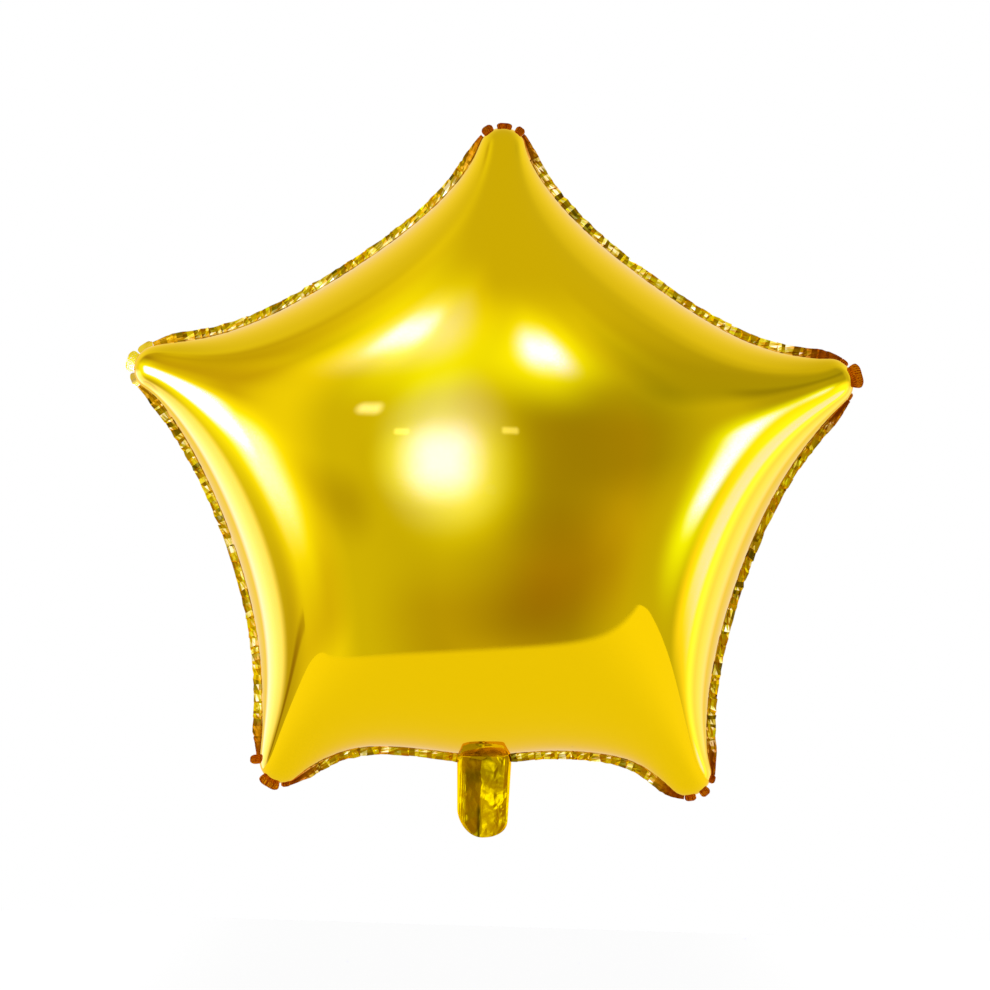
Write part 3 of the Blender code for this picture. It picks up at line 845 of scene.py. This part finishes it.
DIM_CORNERS = (
    # The dark side of the room, towards the camera and to its right
    (29.0, -2.0, 9.2, 18.0, 33.4, 1.8, (0.06, 0.17, 0.1)),
    (17.0, 11.1, 1.1, 10.2, 24.0, 0.93, (0.27, 0.24, 0.2)),
    (43.0, 18.1, 2.5, 9.3, 24.0, 1.2, (0.21, 0.20, 0.2)),
    (79.0, 41.7, 14.2, 5.1, 10.7, 0.8, (0.19, 0.20, 0.2)),
    (0.5, -49.4, 8.0, 10.9, 24.0, 1.1, (0.12, 0.20, 0.1)),
    (18.5, -30.9, 6.4, 9.0, 22.0, 0.8, (0.23, 0.26, 0.2)),
    (-49.0, -7.0, 5.4, 0.2, 12.6, 1.0, (0.16, 0.21, 0.2)),
    # Above the window, the shaded gap between the sheet and the wall, and above the strip light
    (-92.4, 34.9, 11.8, 12.9, 15.9, 2.0, (0.37, 0.49, 0.4)),
    (-88.0, -26.0, 21.9, 2.7, 14.0, 0.9, (0.22, 0.30, 0.3)),
    (-104.0, -25.0, 18.0, 0.3, 1.4, 1.0, (0.25, 0.30, 0.3)),
    (88.0, 25.0, 8.0, 7.0, 8.0, 1.0, (0.14, 0.16, 0.1)),
)
seen_room = coloured("ADD", coloured("SUBTRACT", shell, all_of(DIM_CORNERS)), all_of(LAMPS))

# %% What each kind of ray sees
path = add(room, "ShaderNodeLightPath").outputs
mirrored = add(room, "ShaderNodeBackground", inputs={"Color": seen_room})
plain = add(room, "ShaderNodeBackground", inputs={"Color": linear("#FFFFFF")})
sees_room = maths(room, "MAXIMUM", path["Is Glossy Ray"], path["Is Transmission Ray"])
either = add(room, "ShaderNodeMixShader", inputs={0: sees_room, 1: plain.outputs[0], 2: mirrored.outputs[0]})
add(room, "ShaderNodeOutputWorld", inputs={"Surface": either.outputs[0]})

# %% [markdown]
# ## The floor
# A white sheet lies under the balloon. Its front edge shows in the photograph, mirrored in the lower
# film, as the line where brown turns to yellow. It is plain matt white, with a little glow added for
# the camera and for mirrors, so that it reads as white and still takes the balloon's shadow. The glow
# grows towards the sides, which lie nearer to the lamps.

# %% White sheet
FLOOR_DROP = 0.50
FLOOR_BACK, FLOOR_LEFT, FLOOR_RIGHT = 2.0, -0.72, 0.88
FRONT_EDGE, FRONT_SLANT, FRONT_FADE = -0.420, -0.200, 0.05
CORNER_RADIUS, CORNER_POINTS = 0.16, 13
# The glow's strength in the middle and at the sides, and how far aside its rise begins and ends
GLOW_MIDDLE, GLOW_SIDES = 0.17, 0.32
GLOW_RISES_FROM, GLOW_RISES_TO = 0.2, 0.7
floor_z = STAR_CENTRE_Z - FLOOR_DROP


def front_edge(x):
    """The sheet's front edge, a straight line a little askew to the camera."""
    return FRONT_EDGE + FRONT_SLANT * x


def round_corner(x, side):
    """A quarter of a circle that rounds the sheet's front corner at this x."""
    turn = np.linspace(0, math.pi / 2, CORNER_POINTS)
    arc_x = x - side * CORNER_RADIUS * (1 - np.cos(turn))
    arc_y = front_edge(x) + CORNER_RADIUS * (1 - np.sin(turn))
    return np.column_stack([arc_x, arc_y, np.full(CORNER_POINTS, floor_z)])


floor_points = [*round_corner(FLOOR_LEFT, -1).tolist(), *round_corner(FLOOR_RIGHT, 1)[::-1].tolist(),
                (FLOOR_RIGHT, FLOOR_BACK, floor_z), (FLOOR_LEFT, FLOOR_BACK, floor_z)]
floor_mesh = bpy.data.meshes.new("white_sheet")
floor_mesh.from_pydata(floor_points, [], [tuple(range(len(floor_points)))])
floor = bpy.data.objects.new("white_sheet", floor_mesh)
bpy.context.collection.objects.link(floor)

# %% Matt white paper
# Paper scatters light evenly, so it shows no shine. Its front edge curls down out of the light, which is
# drawn as a fade over a few centimetres.
matt_white = bpy.data.materials.new("matt_white_paper")
matt_white.use_nodes = True
paper = matt_white.node_tree
paper.nodes.clear()
diffuse = add(paper, "ShaderNodeBsdfDiffuse", inputs={"Color": linear("#E8E8E8")})
rays = add(paper, "ShaderNodeLightPath").outputs
seen = maths(paper, "MAXIMUM", rays["Is Camera Ray"], rays["Is Glossy Ray"])
place = add(paper, "ShaderNodeTexCoord").outputs["Object"]
spot = add(paper, "ShaderNodeSeparateXYZ", inputs={"Vector": place}).outputs
brightness = ranged(paper, maths(paper, "ABSOLUTE", spot["X"]), GLOW_RISES_FROM, GLOW_RISES_TO,
                    GLOW_MIDDLE, GLOW_SIDES, kind="SMOOTHSTEP")
glow = add(paper, "ShaderNodeEmission", inputs={
    "Color": linear("#FFFFFF"), "Strength": maths(paper, "MULTIPLY", seen, brightness)})
both = add(paper, "ShaderNodeAddShader", inputs={0: diffuse.outputs[0], 1: glow.outputs[0]})
edge_here = maths(paper, "MULTIPLY_ADD", spot["X"], FRONT_SLANT, FRONT_EDGE)
behind_edge = maths(paper, "SUBTRACT", spot["Y"], edge_here)
solid_share = ranged(paper, behind_edge, 0.0, FRONT_FADE, kind="SMOOTHSTEP")
clear = add(paper, "ShaderNodeBsdfTransparent")
faded = add(paper, "ShaderNodeMixShader", inputs={0: solid_share, 1: clear.outputs[0], 2: both.outputs[0]})
add(paper, "ShaderNodeOutputMaterial", inputs={"Surface": faded.outputs[0]})
floor_mesh.materials.append(matt_white)

# %% Colour management
bpy.context.scene.view_settings.view_transform = "Standard"
